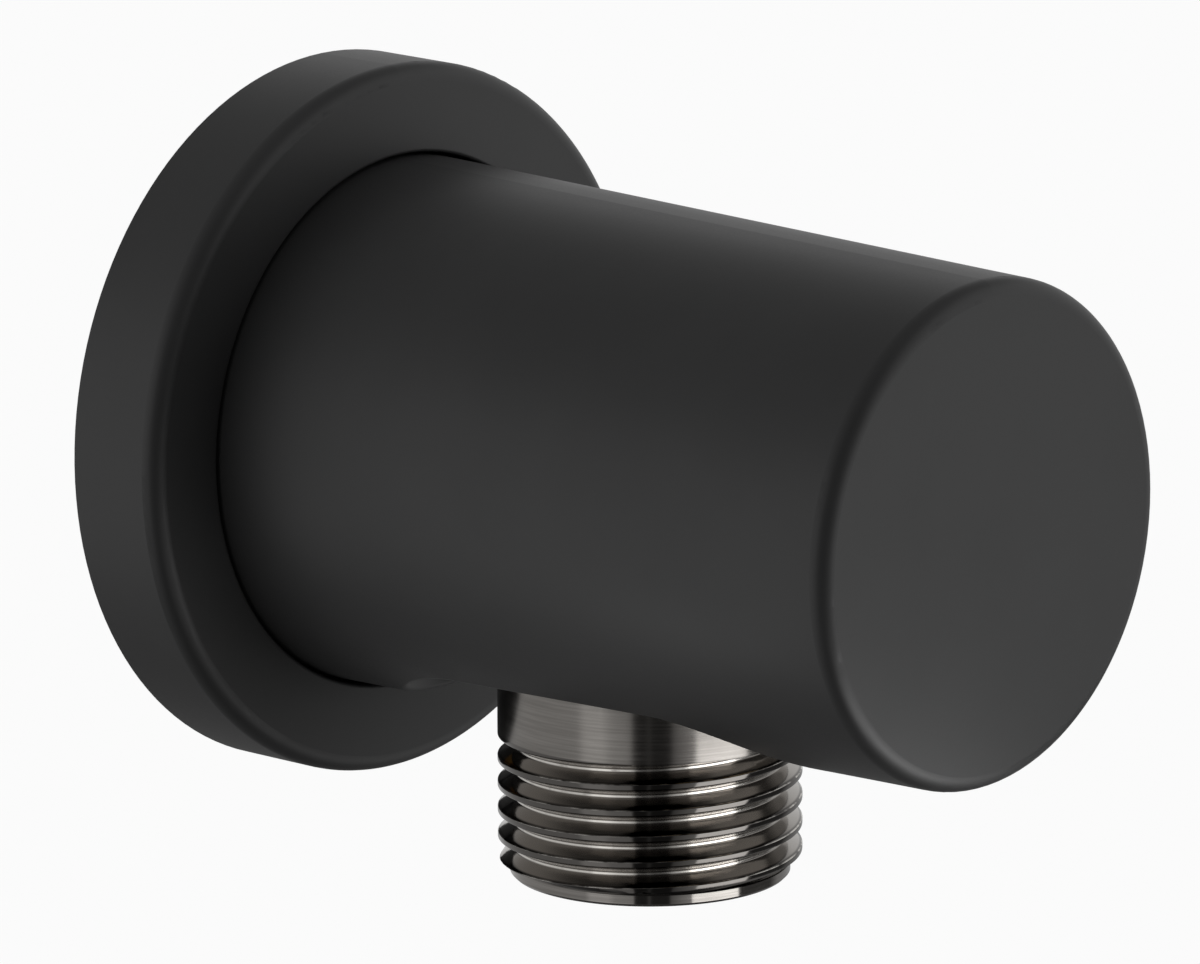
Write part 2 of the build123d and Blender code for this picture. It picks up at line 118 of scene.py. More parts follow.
class Signal:
    # wraps one socket of a node tree, so that sums and products are written as they are read
    def __init__(self, tree, socket):
        self.tree = tree
        self.socket = socket

    def node(self, kind, settings, sockets, output=0):
        # any node: its settings first, then the values or links of its sockets
        made = self.tree.nodes.new(kind)
        for key, value in settings.items():
            setattr(made, key, value)
        for key, value in sockets.items():
            if isinstance(value, Signal):
                self.tree.links.new(value.socket, made.inputs[key])
            else:
                made.inputs[key].default_value = value
        return Signal(self.tree, made.outputs[output])

    def maths(self, operation, first, second=0.0):
        return self.node("ShaderNodeMath", {"operation": operation}, {0: first, 1: second})

    def __add__(self, other):
        return self.maths("ADD", self, other)

    def __radd__(self, other):
        return self.maths("ADD", other, self)

    def __sub__(self, other):
        return self.maths("SUBTRACT", self, other)

    def __rsub__(self, other):
        return self.maths("SUBTRACT", other, self)

    def __mul__(self, other):
        return self.maths("MULTIPLY", self, other)

    def __rmul__(self, other):
        return self.maths("MULTIPLY", other, self)

    def __truediv__(self, other):
        return self.maths("DIVIDE", self, other)

    def __pow__(self, other):
        return self.maths("POWER", self, other)

    def parts(self):
        # x, y and z of a vector
        return [
            self.node("ShaderNodeSeparateXYZ", {}, {"Vector": self}, output=axis)
            for axis in range(3)
        ]

    def between(self, low, high):
        # 0 below low, 1 above high, smooth in the middle
        return self.node(
            "ShaderNodeMapRange",
            {"interpolation_type": "SMOOTHSTEP"},
            {"Value": self, "From Min": low, "From Max": high},
        )

    def window(self, low, lowFull, highFull, high):
        # 1 from lowFull to highFull, smooth down to 0 at low and high
        return self.between(low, lowFull) * (1.0 - self.between(highFull, high))


def newMaterial(name, values):
    # a material with its Principled shader's own values set, and its Object coordinates
    material = bpy.data.materials.new(name)
    material.use_nodes = True
    tree = material.node_tree
    shader = tree.nodes["Principled BSDF"]
    for key, value in values.items():
        shader.inputs[key].default_value = value
    place = tree.nodes.new("ShaderNodeTexCoord")
    return material, shader, Signal(tree, place.outputs["Object"])


def noiseOn(coords, scale, detail=2.0, stretch=(1.0, 1.0, 1.0), centre=(0.0, 0.0, 0.0)):
    # fractal noise from 0 to 1 at scale features per metre, squeezed along each axis by stretch
    placed = coords.node(
        "ShaderNodeMapping",
        {"vector_type": "TEXTURE"},
        {"Vector": coords, "Location": centre, "Scale": tuple(1.0 / s for s in stretch)},
    )
    return coords.node(
        "ShaderNodeTexNoise",
        {"noise_dimensions": "3D"},
        {"Vector": placed, "Scale": scale, "Detail": detail, "Roughness": 0.55},
    )


def blendColour(factor, first, second):
    return factor.node(
        "ShaderNodeMix",
        {"data_type": "RGBA", "blend_type": "MIX"},
        {"Factor": factor, 6: first, 7: second},
        output=2,
    )


def bump(height, depth):
    # height runs from 0 to 1 and stands for depth metres
    return height.node("ShaderNodeBump", {}, {"Height": height, "Distance": depth})


def plug(signal, shader, name):
    signal.tree.links.new(signal.socket, shader.inputs[name])


paint = {
    "colour": (0.046, 0.046, 0.0465, 1.0),
    "paler": (0.052, 0.052, 0.0525, 1.0),
    "tonePerMetre": 60.0,
    "toneSpan": (0.35, 0.65),
    "ior": 1.44,
    "roughness": 0.46,
    "roughnessSpread": 0.08,
    "grainPerMetre": 5200.0,
    "grainDepth": 0.0000022,
    "peelPerMetre": 900.0,
    "peelDepth": 0.000004,
}


def mattePaint(p):
    # powder coat: a fine grain over a slow waviness, with a faint change of tone
    material, shader, coords = newMaterial("mattePaint", {"IOR": p["ior"]})
    tone = noiseOn(coords, p["tonePerMetre"], detail=3.0).between(*p["toneSpan"])
    grain = noiseOn(coords, p["grainPerMetre"])
    peel = noiseOn(coords, p["peelPerMetre"], detail=1.0)
    height = peel + grain * (p["grainDepth"] / p["peelDepth"])
    plug(blendColour(tone, p["colour"], p["paler"]), shader, "Base Color")
    plug(p["roughness"] + (grain - 0.5) * p["roughnessSpread"], shader, "Roughness")
    plug(bump(height, p["peelDepth"]), shader, "Normal")
    return material


nickel = {
    "colour": (0.158, 0.149, 0.139, 1.0),
    "lined": (0.205, 0.194, 0.182, 1.0),
    # painted shade and painted light: the crests are darker and the flanks and roots paler than the
    # same plating elsewhere
    "crest": (0.088, 0.083, 0.078, 1.0),
    "groove": (0.31, 0.292, 0.272, 1.0),
    # painted highlight: the pale colour of the thin bright lines along the thread
    "paintedGlint": (0.60, 0.575, 0.54, 1.0),
    "anisotropy": 0.5,
    "anisotropyTurn": 0.25,
    "threadRoughness": 0.11,
    "collarRoughness": 0.21,
    "glintRoughness": 0.12,
    "lineRoughness": 0.18,
    "mottleRoughness": 0.07,
    "mottlePerMetre": 700.0,
    "mottleStretch": (1.0, 1.0, 0.4),
    "linesPerMetre": 7500.0,
    "lineStretch": (0.02, 0.02, 1.0),
    "lineSpan": (0.35, 0.7),
    "lineDepth": 0.0000015,
    "linesOnThread": 0.15,  # share of their depth that is left there
    "collarHeights": (collarEnd - 0.1, collarEnd + 0.1, -11.1, -10.9),
    "threadHeights": (threadStop, threadStop + 0.3, collarEnd, collarEnd + 0.1),
    "crestRadius": (10.20, 10.36),
    "glintBreakPerMetre": 900.0,
    "crestGlintSpan": (0.38, 0.62),
    "rootGlintSpan": (0.2, 0.5),
    "crestGlint": (0.085, 0.10, 0.120, 0.14),  # in turns from the middle of the crest
    "rootGlint": (0.46, 0.475),
}


def darkNickel(p):
    # Plated and dark, with turning lines round the collar. Along the thread, thin pale lines on the
    # crest's upper edge and beside the root are painted highlights, broken up by noise: turns
    # counts pitches from the middle of the crest, and each highlight line is a window of it.
    values = {
        "Metallic": 1.0,
        "Anisotropic": p["anisotropy"],
        "Anisotropic Rotation": p["anisotropyTurn"],
    }
    material, shader, coords = newMaterial("darkNickel", values)
    x, y, z = coords.parts()
    out = y - nippleAxis[1]
    onCollar = z.window(*metres(p["collarHeights"]))
    onThread = z.window(*metres(p["threadHeights"]))
    turn = out.maths("ARCTAN2", out, x) / (2 * math.pi)
    turns = (z - crestAtRight * mm) / (threadPitch * mm) - turn + 0.5
    turns = turns.maths("FLOORED_MODULO", turns, 1.0) - 0.5
    glintBreak = noiseOn(coords, p["glintBreakPerMetre"], 3.0, centre=nippleAxis)
    lines = noiseOn(coords, p["linesPerMetre"], 3.0, p["lineStretch"], nippleAxis)
    mottle = noiseOn(coords, p["mottlePerMetre"], 3.0, p["mottleStretch"], nippleAxis)
    # painted highlights: a line on the crest's upper edge and one beside the root, broken up by
    # noise
    crestGlint = turns.window(*p["crestGlint"]) * glintBreak.between(*p["crestGlintSpan"])
    nearRoot = turns.maths("ABSOLUTE", turns).between(*p["rootGlint"])
    paintedGlint = (crestGlint + nearRoot * glintBreak.between(*p["rootGlintSpan"])) * onThread
    radius = (x * x + out ** 2.0) ** 0.5
    # painted shade on the crests and painted light on the flanks and roots below them
    groove = onThread * (1.0 - radius.between(*metres(p["crestRadius"])))
    turned = blendColour(lines.between(*p["lineSpan"]), p["colour"], p["lined"])
    threaded = blendColour(groove, p["crest"], p["groove"])
    plated = blendColour(onThread, turned, threaded)
    rough = p["threadRoughness"] + (p["collarRoughness"] - p["threadRoughness"]) * onCollar
    rough = rough + p["glintRoughness"] * paintedGlint
    rough = rough + (lines - 0.5) * p["lineRoughness"] * onCollar
    rough = rough + (mottle - 0.5) * p["mottleRoughness"]
    height = lines * (p["linesOnThread"] + (1.0 - p["linesOnThread"]) * onCollar)
    plug(blendColour(paintedGlint, plated, p["paintedGlint"]), shader, "Base Color")
    plug(rough, shader, "Roughness")
    plug(bump(height, p["lineDepth"]), shader, "Normal")
    return material


brass = {
    "colour": (0.60, 0.43, 0.19, 1.0),
    "darker": (0.42, 0.28, 0.12, 1.0),
    "stainPerMetre": 240.0,
    "stainSpan": (0.3, 0.75),
    "roughness": 0.33,
    "stainRoughness": 0.25,
    "castRoughness": 0.12,
    "castPerMetre": 1500.0,
    "castDepth": 0.00003,
    "turnedBeyond": (14.7, 15.0),
    "linesPerMetre": 2600.0,
    "lineStretch": (0.02, 1.0, 0.02),
    "lineShare": 0.08,
}


def castBrass(p):
    # sand cast where the body is waisted, turned smooth where it stands further out from the
    # barrel's axis, with fine turning lines there
    material, shader, coords = newMaterial("castBrass", {"Metallic": 1.0})
    across = coords.node(
        "ShaderNodeVectorMath", {"operation": "MULTIPLY"}, {0: coords, 1: (1.0, 0.0, 1.0)}
    )
    radius = coords.node("ShaderNodeVectorMath", {"operation": "LENGTH"}, {0: across}, output=1)
    turned = radius.between(*metres(p["turnedBeyond"]))
    stain = noiseOn(coords, p["stainPerMetre"], 4.0)
    grain = noiseOn(coords, p["castPerMetre"], 4.0)
    lines = noiseOn(coords, p["linesPerMetre"], 2.0, p["lineStretch"])
    rough = p["roughness"] + (stain - 0.5) * p["stainRoughness"]
    rough = rough + p["castRoughness"] * (1.0 - turned)
    height = grain * (1.0 - turned) + lines * turned * p["lineShare"]
    colour = blendColour(stain.between(*p["stainSpan"]), p["colour"], p["darker"])
    plug(colour, shader, "Base Color")
    plug(rough, shader, "Roughness")
    plug(bump(height, p["castDepth"]), shader, "Normal")
    return material


rubber = {
    "colour": (0.018, 0.018, 0.018, 1.0),
    "paler": (0.03, 0.03, 0.03, 1.0),
    "ior": 1.52,
    "bloomPerMetre": 420.0,
    "bloomSpan": (0.4, 0.7),
    "roughness": 0.42,
    "bloomRoughness": 0.3,
    "grainPerMetre": 3000.0,
    "grainDepth": 0.000003,
}


def sealRubber(p):
    # black, with a paler bloom in patches
    material, shader, coords = newMaterial("sealRubber", {"IOR": p["ior"]})
    bloom = noiseOn(coords, p["bloomPerMetre"], 4.0)
    grain = noiseOn(coords, p["grainPerMetre"])
    plug(blendColour(bloom.between(*p["bloomSpan"]), p["colour"], p["paler"]), shader, "Base Color")
    plug(p["roughness"] + (bloom - 0.5) * p["bloomRoughness"], shader, "Roughness")
    plug(bump(grain, p["grainDepth"]), shader, "Normal")
    return material


foam = {
    "colour": (0.05, 0.05, 0.052, 1.0),
    # painted shade: the darker colour inside the open cells
    "poreShade": (0.012, 0.012, 0.012, 1.0),
    "roughness": 0.9,
    "cellsPerMetre": 3400.0,
    "cellSpan": (0.1, 0.55),
    "cellDepth": 0.00009,
}


def foamRubber(p):
    # closed cells cut open at the surface, with the pores painted darker: painted shade inside the
    # open cells
    material, shader, coords = newMaterial("foamRubber", {"Roughness": p["roughness"]})
    cells = coords.node(
        "ShaderNodeTexVoronoi", {"feature": "F1"}, {"Vector": coords, "Scale": p["cellsPerMetre"]}
    )
    walls = cells.between(*p["cellSpan"])
    plug(blendColour(walls, p["poreShade"], p["colour"]), shader, "Base Color")
    plug(bump(walls, p["cellDepth"]), shader, "Normal")
    return material


steel = {
    "colour": (0.48, 0.48, 0.48, 1.0),
    "roughness": 0.3,
    "scuffRoughness": 0.3,
    "scuffPerMetre": 2400.0,
    "scuffDepth": 0.000005,
}


def screwSteel(p):
    # bare and finely scuffed
    values = {"Metallic": 1.0, "Base Color": p["colour"]}
    material, shader, coords = newMaterial("screwSteel", values)
    scuff = noiseOn(coords, p["scuffPerMetre"], 4.0)
    plug(p["roughness"] + (scuff - 0.5) * p["scuffRoughness"], shader, "Roughness")
    plug(bump(scuff, p["scuffDepth"]), shader, "Normal")
    return material


plastics = {
    "valvePlastic": {"colour": (0.62, 0.63, 0.61, 1.0), "roughness": 0.38},
    "poppetPlastic": {"colour": (0.03, 0.10, 0.30, 1.0), "roughness": 0.33},
}
moulding = {"ior": 1.48, "flowPerMetre": 900.0, "flowRoughness": 0.12, "flowDepth": 0.000004}


def mouldedPlastic(name, p, m):
    # one plain colour, with the faint flow marks of the mould
    material, shader, coords = newMaterial(name, {"Base Color": p["colour"], "IOR": m["ior"]})
    flow = noiseOn(coords, m["flowPerMetre"])
    plug(p["roughness"] + (flow - 0.5) * m["flowRoughness"], shader, "Roughness")
    plug(bump(flow, m["flowDepth"]), shader, "Normal")
    return material


looks = {
    "painted_brass": mattePaint(paint),
    "dark_nickel": darkNickel(nickel),
    "raw_brass": castBrass(brass),
    "seal_rubber": sealRubber(rubber),
    "foam_rubber": foamRubber(foam),
    "screw_steel": screwSteel(steel),
    "valve_plastic": mouldedPlastic("valvePlastic", plastics["valvePlastic"], moulding),
    "poppet_plastic": mouldedPlastic("poppetPlastic", plastics["poppetPlastic"], moulding),
}
print("materials made:", len(looks))


# Turned and threaded surfaces

def roundCorners(points, steps=4):
    # Each point is (x, y) or (x, y, radius). A corner with a radius becomes an arc that touches
    # both sides. Its points are weighted sums of the arc's two ends: each weight is the sine of a
    # share of the sweep over the sine of the whole sweep.
    rounded = []
    for index, point in enumerate(points):
        here = np.array(point[:2], dtype=float)
        if len(point) == 2 or index in (0, len(points) - 1):
            rounded.append(here)
            continue
        before = np.array(points[index - 1][:2]) - here
        after = np.array(points[index + 1][:2]) - here
        before /= np.linalg.norm(before)
        after /= np.linalg.norm(after)
        half = math.acos(float(np.clip(before @ after, -1.0, 1.0))) / 2
        middle = (before + after) / np.linalg.norm(before + after)
        centre = here + middle * point[2] / math.sin(half)
        start = here + before * point[2] / math.tan(half) - centre
        stop = here + after * point[2] / math.tan(half) - centre
        sweep = math.pi - 2 * half
        shares = np.linspace(0.0, 1.0, steps + 1)[:, None]
        arc = np.sin((1 - shares) * sweep) * start + np.sin(shares * sweep) * stop
        rounded.extend(centre + arc / math.sin(sweep))
    return np.array(rounded)


def lathe(points):
    # the radius and height of each profile point, the same in every column: rows by columns by two
    return np.repeat(np.asarray(points, dtype=float)[:, None, :], columns, axis=1)


def hexRadius(across):
    # by column, half the width across flats over the cosine of the angle from the nearest flat
    angle = np.arange(columns) * 2 * math.pi / columns
    fold = (angle + math.pi / 6) % (math.pi / 3) - math.pi / 6
    return across / 2 / np.cos(fold)


def helix(t, start, end, blank, lead=0.0):
    # Rows follow the thread t: a row moves on by one pitch in a full turn, and lead moves the
    # thread along its axis. The radius is the smaller of the thread's own and the turned blank's,
    # and rows past start or end are brought back to that plane.
    phases, radii = t["section"]
    length = abs(end - start)
    turns = np.arange(-2, math.ceil(length / t["pitch"]) + 2)
    along = (turns[:, None] * t["pitch"] + phases[None, :]).ravel() + lead
    before = np.arange(columns)[None, :] / columns * t["pitch"]
    place = np.clip(along[:, None] + before, 0.0, length)
    own = np.interp((place - before - lead) % t["pitch"], phases, radii, period=t["pitch"])
    height = start + math.copysign(1.0, end - start) * place
    return np.stack([np.minimum(own, np.interp(place, *blank)), height], axis=2)


def ledge(edge, radius, inwards):
    # the flat ring between a thread's first or last row and a turned radius
    turned = edge.copy()
    turned[:, 0] = radius
    return np.stack([turned, edge] if inwards else [edge, turned])


def ringMesh(name, grids, shifts, axis, slot):
    # Grids of (radius, height), one after another, become one closed skin about an axis: x and y
    # are the radius times the angle's cosine and sine, and z is the height. Columns go round
    # clockwise, so that a helix whose rows move down is right-handed. A grid that follows a helix
    # joins its last column to the first one a whole turn of rows further on.
    verts, faces, offset = [], [], 0
    for grid, shift in zip(grids, shifts):
        rows, count = grid.shape[:2]
        angle = np.arange(count) * -2 * math.pi / count
        radius, height = grid[:, :, 0], grid[:, :, 1]
        ring = np.stack([radius * np.cos(angle), radius * np.sin(angle), height], axis=2)
        verts.append(ring.reshape(-1, 3))
        row, column = np.meshgrid(np.arange(rows - 1), np.arange(count), indexing="ij")
        nextColumn = (column + 1) % count
        step = np.where(column == count - 1, shift, 0)
        keep = row + 1 + step < rows
        corners = [
            row * count + column,
            (row + 1) * count + column,
            (row + 1 + step) * count + nextColumn,
            (row + step) * count + nextColumn,
        ]
        faces.append(np.stack(corners, axis=2)[keep] + offset)
        offset += rows * count
    faces = np.concatenate(faces).tolist()
    piece = addPiece(name, np.concatenate(verts) * mm, faces, axis, slot, turnedSharp)
    return piece


def addPiece(name, verts, faces, axis, slot, sharp):
    # a mesh worked out about the origin becomes a piece on its axis, smooth but for its sharp edges
    mesh = bpy.data.meshes.new(name)
    mesh.from_pydata(verts.tolist(), [], faces)
    piece = bpy.data.objects.new(name, mesh)
    bpy.context.scene.collection.objects.link(piece)
    cleanSkin(mesh, axis)
    mesh.shade_smooth()
    mesh.set_sharp_from_angle(angle=math.radians(sharp))
    mesh.materials.append(looks[slot])
    return piece


def cleanSkin(mesh, axis):
    # merges the rows that meet, drops what has no area, turns the skin outwards and moves it to
    # its axis
    skin = bmesh.new()
    skin.from_mesh(mesh)
    bmesh.ops.remove_doubles(skin, verts=skin.verts, dist=mergeDistance)
    bmesh.ops.dissolve_degenerate(skin, edges=skin.edges, dist=mergeDistance)
    bmesh.ops.recalc_face_normals(skin, faces=skin.faces)
    bmesh.ops.transform(skin, matrix=axis, verts=skin.verts)
    skin.to_mesh(mesh)
    skin.free()


pipeThread = {
    "pitch": threadPitch,
    "crest": 10.4775,
    "root": 9.3155,
    "flankAngle": 27.5,
    "flat": 0.38,
    "crestRound": 0.08,
    "rootRound": 0.07,
    "roundSteps": 3,
    "flankPoints": 3,
    "longStep": 0.5,  # only a flank is longer than this
}


def threadSection(t):
    # One pitch of the thread's section as distances along it and radii, from the middle of a root
    # to the middle of the next. Points down each flank let the blank cut it.
    half, flat = t["pitch"] / 2, t["flat"] / 2
    rise = t["crest"] - t["root"]
    foot = half - flat - rise * math.tan(math.radians(t["flankAngle"]))
    corners = [
        (0.0, t["root"]),
        (foot, t["root"], t["rootRound"]),
        (half - flat, t["crest"], t["crestRound"]),
        (half + flat, t["crest"], t["crestRound"]),
        (t["pitch"] - foot, t["root"], t["rootRound"]),
        (t["pitch"], t["root"]),
    ]
    rows = roundCorners(corners, t["roundSteps"])[:-1]
    gaps = np.linalg.norm(np.diff(rows, axis=0), axis=1)
    for index in reversed(np.flatnonzero(gaps > t["longStep"])):
        shares = np.linspace(0.0, 1.0, t["flankPoints"] + 2)[1:-1, None]
        between = rows[index] + shares * (rows[index + 1] - rows[index])
        rows = np.concatenate([rows[:index + 1], between, rows[index + 1:]])
    return rows[:, 0], rows[:, 1]


pipeThread["section"] = threadSection(pipeThread)
sectionRows = len(pipeThread["section"][0])


nipple = {
    "shankTop": -6.6,
    "shank": 8.33,
    "shankChamfer": 0.5,
    "shankRound": 0.1,
    "ringGroove": (9.73, -12.0),
    "grooveRound": 0.05,
    "seat": -11.0,
    "collar": 10.4775,
    "collarRound": 0.2,
    "threadEnd": -27.2,
    "pilot": 9.65,
    "pilotChamfer": 0.2,
    "end": -28.4,
    "bore": 7.25,
    "boreChamfer": 0.25,
    "boreTop": -15.0,
    "hexAcross": 10.0,
    "hexLand": 0.9,
}


def addNipple(n, t):
    # The profile goes down the shank and the collar, along the thread, round the pilot's end and
    # back up the bore and the hexagon to where it began.
    grooveRadius, grooveFloor = n["ringGroove"]
    topRadius = n["shank"] - n["shankChamfer"]
    endRadius = n["pilot"] - n["pilotChamfer"]
    landRadius = n["hexAcross"] / 2 + n["hexLand"]
    upper = roundCorners([
        (topRadius, n["shankTop"]),
        (n["shank"], n["shankTop"] - n["shankChamfer"], n["shankRound"]),
        (n["shank"], grooveFloor),
        (grooveRadius, grooveFloor),
        (grooveRadius, n["seat"], n["grooveRound"]),
        (n["collar"], n["seat"], n["collarRound"]),
        (n["collar"], collarEnd),
    ])
    blank = [
        (0.0, n["collar"]),
        (collarEnd - n["threadEnd"], n["collar"]),
        (collarEnd - threadStop, n["pilot"]),
    ]
    lead = collarEnd - crestAtRight - t["pitch"] / 2
    thread = helix(t, collarEnd, threadStop, np.array(blank).T, lead)
    pilot = lathe([
        (n["pilot"], threadStop),
        (n["pilot"], n["end"] + n["pilotChamfer"]),
        (endRadius, n["end"]),
    ])
    bore = lathe([
        (endRadius, n["end"]),
        (n["bore"] + n["boreChamfer"], n["end"]),
        (n["bore"], n["end"] + n["boreChamfer"]),
        (n["bore"], n["boreTop"]),
        (landRadius, n["boreTop"]),
    ])
    hexagon = lathe([(0.0, n["boreTop"]), (0.0, n["shankTop"])])
    hexagon[:, :, 0] = hexRadius(n["hexAcross"])
    top = lathe([(landRadius, n["shankTop"]), (topRadius, n["shankTop"])])
    grids = [
        lathe(upper), ledge(thread[0], n["collar"], True), thread,
        ledge(thread[-1], n["pilot"], False), pilot, np.concatenate([bore, hexagon, top]),
    ]
    axis = Matrix.Translation(Vector(nippleAxis))
    piece = ringMesh("threaded_nipple", grids, (0, 0, sectionRows, 0, 0, 0), axis, "dark_nickel")
    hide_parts("outlet_nipple")
    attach(piece, "outlet")
    return piece


threadedNipple = addNipple(nipple, pipeThread)
print("nipple threaded:", len(threadedNipple.data.polygons), "faces")


# Wall connector, its heights being distances out from the wall

connector = {
    "threadEnd": -11.0,
    "endChamfer": 0.9,
    "threadStart": -1.2,
    "leadIn": 0.7,
    "relief": 9.2,
    "shoulder": 11.8,
    "shoulderEnd": 2.6,
    "shoulderEdge": 0.25,
    "shoulderFoot": 0.2,
    "spigot": 8.0,
    "spigotEnd": 19.2,
    "spigotChamfer": 0.6,
    "edge": 0.1,
    "ringGrooves": (11.1, 7.1),
    "grooveWidth": 2.2,
    "grooveDepth": 1.4,
    "grooveEdge": 0.08,
    "grooveFoot": 0.15,
    "screwGroove": 15.8,
    "screwGrooveHalf": 1.6,
    "screwGrooveDepth": 0.9,
    "bore": 4.9,
    "boreEdge": 0.4,
    "hexAcross": 10.0,
    "hexDepth": 8.0,
    "hexLand": 0.9,
}


def addConnector(c, t):
    # The profile goes from the spigot's end over the screw's groove, the rings' grooves and the
    # shoulder to the thread, along it to its end, and back through the bore and the hexagon.
    edge = c["edge"]
    rimRadius = c["spigot"] - c["spigotChamfer"]
    screwFloor = c["spigot"] - c["screwGrooveDepth"]
    ringFloor = c["spigot"] - c["grooveDepth"]
    screwReach = c["screwGrooveHalf"] + c["screwGrooveDepth"]
    outside = [
        (rimRadius, c["spigotEnd"]),
        (c["spigot"], c["spigotEnd"] - c["spigotChamfer"], edge),
        (c["spigot"], c["screwGroove"] + screwReach, edge),
        (screwFloor, c["screwGroove"] + c["screwGrooveHalf"], edge),
        (screwFloor, c["screwGroove"] - c["screwGrooveHalf"], edge),
        (c["spigot"], c["screwGroove"] - screwReach, edge),
    ]
    for middle in c["ringGrooves"]:
        front, rear = middle + c["grooveWidth"] / 2, middle - c["grooveWidth"] / 2
        outside += [
            (c["spigot"], front, c["grooveEdge"]),
            (ringFloor, front, c["grooveFoot"]),
            (ringFloor, rear, c["grooveFoot"]),
            (c["spigot"], rear, c["grooveEdge"]),
        ]
    outside += [
        (c["spigot"], c["shoulderEnd"], c["shoulderFoot"]),
        (c["shoulder"], c["shoulderEnd"], c["shoulderEdge"]),
        (c["shoulder"], 0.0, edge),
        (c["relief"], 0.0, c["shoulderFoot"]),
        (c["relief"], c["threadStart"]),
    ]
    length = c["threadStart"] - c["threadEnd"]
    endRadius = t["crest"] - c["endChamfer"]
    blank = [
        (0.0, c["relief"]),
        (c["leadIn"], t["crest"]),
        (length - c["endChamfer"], t["crest"]),
        (length, endRadius),
    ]
    thread = helix(t, c["threadStart"], c["threadEnd"], np.array(blank).T)
    hexFloor = c["spigotEnd"] - c["hexDepth"]
    bore = lathe(roundCorners([
        (endRadius, c["threadEnd"]),
        (c["bore"], c["threadEnd"], c["boreEdge"]),
        (c["bore"], hexFloor),
    ]))
    hexagon = lathe([(0.0, hexFloor), (0.0, c["spigotEnd"])])
    hexagon[:, :, 0] = hexRadius(c["hexAcross"])
    landRadius = c["hexAcross"] / 2 + c["hexLand"]
    face = lathe([(landRadius, c["spigotEnd"]), (rimRadius, c["spigotEnd"])])
    grids = [
        lathe(roundCorners(outside)), ledge(thread[0], c["relief"], True), thread,
        ledge(thread[-1], endRadius, False), np.concatenate([bore, hexagon, face]),
    ]
    outwards = Matrix.Rotation(math.radians(90.0), 4, "X")
    piece = ringMesh("threaded_connector", grids, (0, 0, sectionRows, 0, 0), outwards, "raw_brass")
    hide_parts("wall_connector")
    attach(piece, "outlet")
    return piece


threadedConnector = addConnector(connector, pipeThread)
print("connector threaded:", len(threadedConnector.data.polygons), "faces")


# Valve spring, whose last turn at each end lies flat

spring = {
    "coil": 2.55,
    "wire": 0.25,
    "top": -20.72,
    "bottom": -25.53,
    "turns": 5.0,
    "flatTurns": 0.9,
    "flatShare": 0.28,
    "steps": 300,
    "sides": 14,
    "sharp": 50.0,
    "anchor": (0.0, -0.0304, -0.02578),
    "keep": 0.617,
}


def addSpring(s):
    # The wire's middle goes round at the coil's radius and falls slowly in the flat turns and
    # evenly between them. Each ring of points lies across the wire: the wire's radius times a
    # cosine outwards and times a sine upwards.
    steps, sides = s["steps"], s["sides"]
    turn = np.linspace(0.0, s["turns"], steps)
    knots = [0.0, s["flatTurns"], s["turns"] - s["flatTurns"], s["turns"]]
    flat = s["flatTurns"] * s["flatShare"] * (s["top"] - s["bottom"]) / s["turns"]
    falls = [s["top"], s["top"] - flat, s["bottom"] + flat, s["bottom"]]
    height = np.interp(turn, knots, falls)[:, None]
    angle = turn[:, None] * -2 * math.pi
    across = np.linspace(0.0, 2 * math.pi, sides, endpoint=False)[None, :]
    radius = s["coil"] + s["wire"] * np.cos(across)
    x = radius * np.cos(angle)
    y = radius * np.sin(angle) - outletOut
    z = height + s["wire"] * np.sin(across)
    verts = np.stack([x, y, z], axis=2).reshape(-1, 3) * mm
    row, side = np.meshgrid(np.arange(steps - 1), np.arange(sides), indexing="ij")
    following = (side + 1) % sides
    corners = [row * sides + side, (row + 1) * sides + side]
    corners += [(row + 1) * sides + following, row * sides + following]
    faces = np.stack(corners, axis=2).reshape(-1, 4).tolist()
    last = (steps - 1) * sides
    faces += [list(range(sides)), [last + k for k in reversed(range(sides))]]
    inPlace = Matrix.Identity(4)
    piece = addPiece("wound_spring", verts, faces, inPlace, "screw_steel", s["sharp"])
    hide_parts("valve_spring")
    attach(piece, "outlet")
    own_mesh(piece)
    return piece


woundSpring = addSpring(spring)
print("spring wound:", len(woundSpring.data.polygons), "faces")


# Every carried-over node takes the look of its material slot

slotOf = {entry["node"]: entry["material_slot"] for entry in frame["record"]["subparts"]}
for name, node in frame["nodes"].items():
    node.data.materials.clear()
    node.data.materials.append(looks[slotOf[name]])
print("nodes dressed")


# Stage: a pale floor far below the fitting, in a soft studio

stage = {
    "floorDrop": -1.6,
    "floorSize": 32.0,
    "floorColour": (0.85, 0.85, 0.85, 1.0),
    "floorRoughness": 0.9,
    "floorWhite": 0.95,
}
plainWhite = (1.0, 1.0, 1.0, 1.0)


def seenRays(tree):
    # 1 for rays that come from the camera or through something clear
    path = tree.nodes.new("ShaderNodeLightPath")
    camera = Signal(tree, path.outputs["Is Camera Ray"])
    return camera + Signal(tree, path.outputs["Is Transmission Ray"])


def showSurface(material, signal):
    tree = material.node_tree
    tree.links.new(signal.socket, tree.nodes["Material Output"].inputs["Surface"])


